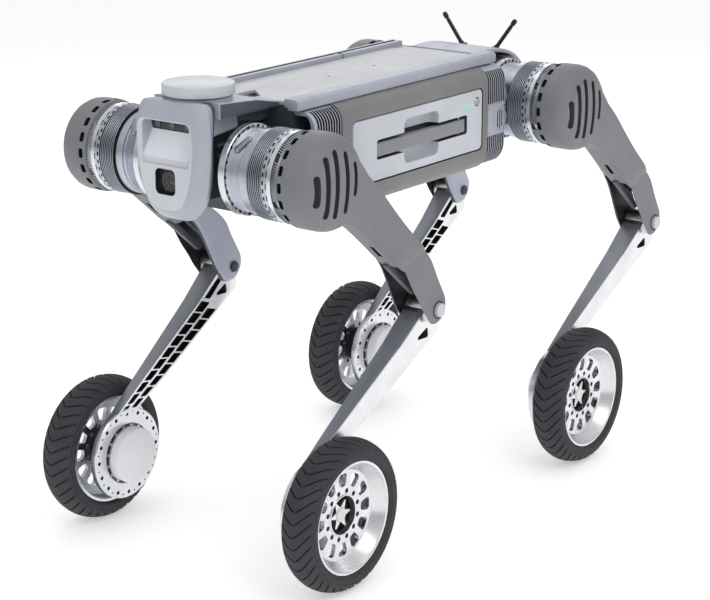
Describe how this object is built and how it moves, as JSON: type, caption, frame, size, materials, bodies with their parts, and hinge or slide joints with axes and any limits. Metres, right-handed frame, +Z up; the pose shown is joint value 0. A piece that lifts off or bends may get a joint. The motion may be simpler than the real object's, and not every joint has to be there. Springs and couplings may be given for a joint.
{
  "type": "wheel-legged robot chassis",
  "caption": "Quadruped robot chassis with articulated legs ending in driven wheels, a box body with a side battery, a sensor head and a flat payload deck.",
  "frame": {"origin": "on the ground under the centre of the whole machine as it stands", "axes": "+X forwards to the sensor head, +Y to the robot's left (battery side), +Z up"},
  "size_m": [1.0428, 0.5244, 0.7246],
  "materials": {
    "shell": "satin light blue-grey",
    "cover": "matt mid grey",
    "dark": "dark slate",
    "machined": "machined satin",
    "polished": "bright machined",
    "motor": "satin white",
    "steel": "satin",
    "tyre": "matt",
    "glass": "smoked",
    "black": "matt",
    "green": "lit",
    "board": "board and cases",
    "cells": "matt"
  },
  "bodies": {
    "body": {"chassis_frame": "dark", "top_plate": "shell", "top_rails": "shell", "side_covers": "cover", "belly_pan": "cover", "front_bulkhead": "dark", "rear_bulkhead": "dark", "side_vents": "shell", "rear_top_cover": "shell", "tail_hood": "shell", "neck_duct": "shell", "head_shell": "shell", "camera_window": "glass", "camera_lens": "black", "depth_camera": "black", "lidar_puck": "shell", "roll_actuators": "machined", "control_boards": "board"},
    "battery": {"battery_pack": "cells", "battery_panel": "shell", "status_lights": "green"},
    "button": {"power_button": "shell"},
    "antenna_left_whip": {"antenna_left": "black"},
    "antenna_right_whip": {"antenna_right": "black"},
    "front_left_hip": {"front_left_hip_housing": "machined", "front_left_hip_motor": "machined"},
    "front_left_thigh": {"front_left_thigh_frame": "shell", "front_left_thigh_cover": "cover", "front_left_knee_drive": "steel"},
    "front_left_shin": {"front_left_shin": "polished", "front_left_wheel_motor": "motor"},
    "front_left_wheel": {"front_left_wheel_rim": "polished", "front_left_tyre": "tyre"},
    "front_right_hip": {"front_right_hip_housing": "machined", "front_right_hip_motor": "machined"},
    "front_right_thigh": {"front_right_thigh_frame": "shell", "front_right_thigh_cover": "cover", "front_right_knee_drive": "steel"},
    "front_right_shin": {"front_right_shin": "polished", "front_right_wheel_motor": "motor"},
    "front_right_wheel": {"front_right_wheel_rim": "polished", "front_right_tyre": "tyre"},
    "rear_left_hip": {"rear_left_hip_housing": "machined", "rear_left_hip_motor": "machined"},
    "rear_left_thigh": {"rear_left_thigh_frame": "shell", "rear_left_thigh_cover": "cover", "rear_left_knee_drive": "steel"},
    "rear_left_shin": {"rear_left_shin": "polished", "rear_left_wheel_motor": "motor"},
    "rear_left_wheel": {"rear_left_wheel_rim": "polished", "rear_left_tyre": "tyre"},
    "rear_right_hip": {"rear_right_hip_housing": "machined", "rear_right_hip_motor": "machined"},
    "rear_right_thigh": {"rear_right_thigh_frame": "shell", "rear_right_thigh_cover": "cover", "rear_right_knee_drive": "steel"},
    "rear_right_shin": {"rear_right_shin": "polished", "rear_right_wheel_motor": "motor"},
    "rear_right_wheel": {"rear_right_wheel_rim": "polished", "rear_right_tyre": "tyre"}
  },
  "joints": [
    {"name": "front_left_roll", "type": "hinge", "parent": "body", "child": "front_left_hip", "pos_m": [0.41145, 0.072, 0.599], "axis": [1, 0, 0], "range_deg": [-12, 22]},
    {"name": "front_left_hip_pitch", "type": "hinge", "parent": "front_left_hip", "child": "front_left_thigh", "pos_m": [0.41145, 0.2, 0.599], "axis": [0, -1, 0], "range_deg": [-35, 35]},
    {"name": "front_left_knee", "type": "hinge", "parent": "front_left_thigh", "child": "front_left_shin", "pos_m": [0.15755, 0.2, 0.3582], "axis": [0, 1, 0], "range_deg": [-40, 50]},
    {"name": "front_left_wheel_spin", "type": "hinge", "parent": "front_left_shin", "child": "front_left_wheel", "pos_m": [0.40785, 0.234, 0.1136], "axis": [0, 1, 0], "continuous": true},
    {"name": "front_right_roll", "type": "hinge", "parent": "body", "child": "front_right_hip", "pos_m": [0.41145, -0.072, 0.599], "axis": [-1, 0, 0], "range_deg": [-12, 22]},
    {"name": "front_right_hip_pitch", "type": "hinge", "parent": "front_right_hip", "child": "front_right_thigh", "pos_m": [0.41145, -0.2, 0.599], "axis": [0, -1, 0], "range_deg": [-35, 35]},
    {"name": "front_right_knee", "type": "hinge", "parent": "front_right_thigh", "child": "front_right_shin", "pos_m": [0.15755, -0.2, 0.3582], "axis": [0, 1, 0], "range_deg": [-40, 50]},
    {"name": "front_right_wheel_spin", "type": "hinge", "parent": "front_right_shin", "child": "front_right_wheel", "pos_m": [0.40785, -0.234, 0.1136], "axis": [0, 1, 0], "continuous": true},
    {"name": "rear_left_roll", "type": "hinge", "parent": "body", "child": "rear_left_hip", "pos_m": [-0.24555, 0.072, 0.599], "axis": [1, 0, 0], "range_deg": [-12, 22]},
    {"name": "rear_left_hip_pitch", "type": "hinge", "parent": "rear_left_hip", "child": "rear_left_thigh", "pos_m": [-0.24555, 0.2, 0.599], "axis": [0, -1, 0], "range_deg": [-35, 35]},
    {"name": "rear_left_knee", "type": "hinge", "parent": "rear_left_thigh", "child": "rear_left_shin", "pos_m": [-0.49945, 0.2, 0.3582], "axis": [0, 1, 0], "range_deg": [-40, 50]},
    {"name": "rear_left_wheel_spin", "type": "hinge", "parent": "rear_left_shin", "child": "rear_left_wheel", "pos_m": [-0.24915, 0.234, 0.1136], "axis": [0, 1, 0], "continuous": true},
    {"name": "rear_right_roll", "type": "hinge", "parent": "body", "child": "rear_right_hip", "pos_m": [-0.24555, -0.072, 0.599], "axis": [-1, 0, 0], "range_deg": [-12, 22]},
    {"name": "rear_right_hip_pitch", "type": "hinge", "parent": "rear_right_hip", "child": "rear_right_thigh", "pos_m": [-0.24555, -0.2, 0.599], "axis": [0, -1, 0], "range_deg": [-35, 35]},
    {"name": "rear_right_knee", "type": "hinge", "parent": "rear_right_thigh", "child": "rear_right_shin", "pos_m": [-0.49945, -0.2, 0.3582], "axis": [0, 1, 0], "range_deg": [-40, 50]},
    {"name": "rear_right_wheel_spin", "type": "hinge", "parent": "rear_right_shin", "child": "rear_right_wheel", "pos_m": [-0.24915, -0.234, 0.1136], "axis": [0, 1, 0], "continuous": true},
    {"name": "battery_slide", "type": "slide", "parent": "body", "child": "battery", "axis": [0, 1, 0], "range_m": [0, 0.15]},
    {"name": "button_press", "type": "slide", "parent": "battery", "child": "button", "axis": [0, -1, 0], "range_m": [0, 0.0015], "stiffness_N_per_m": 800},
    {"name": "antenna_left_tilt", "type": "hinge", "parent": "body", "child": "antenna_left_whip", "pos_m": [-0.28305, 0.031, 0.6685], "axis": [1, 0, 0], "range_deg": [-20, 40]},
    {"name": "antenna_right_tilt", "type": "hinge", "parent": "body", "child": "antenna_right_whip", "pos_m": [-0.28305, -0.031, 0.6685], "axis": [-1, 0, 0], "range_deg": [-20, 40]}
  ]
}
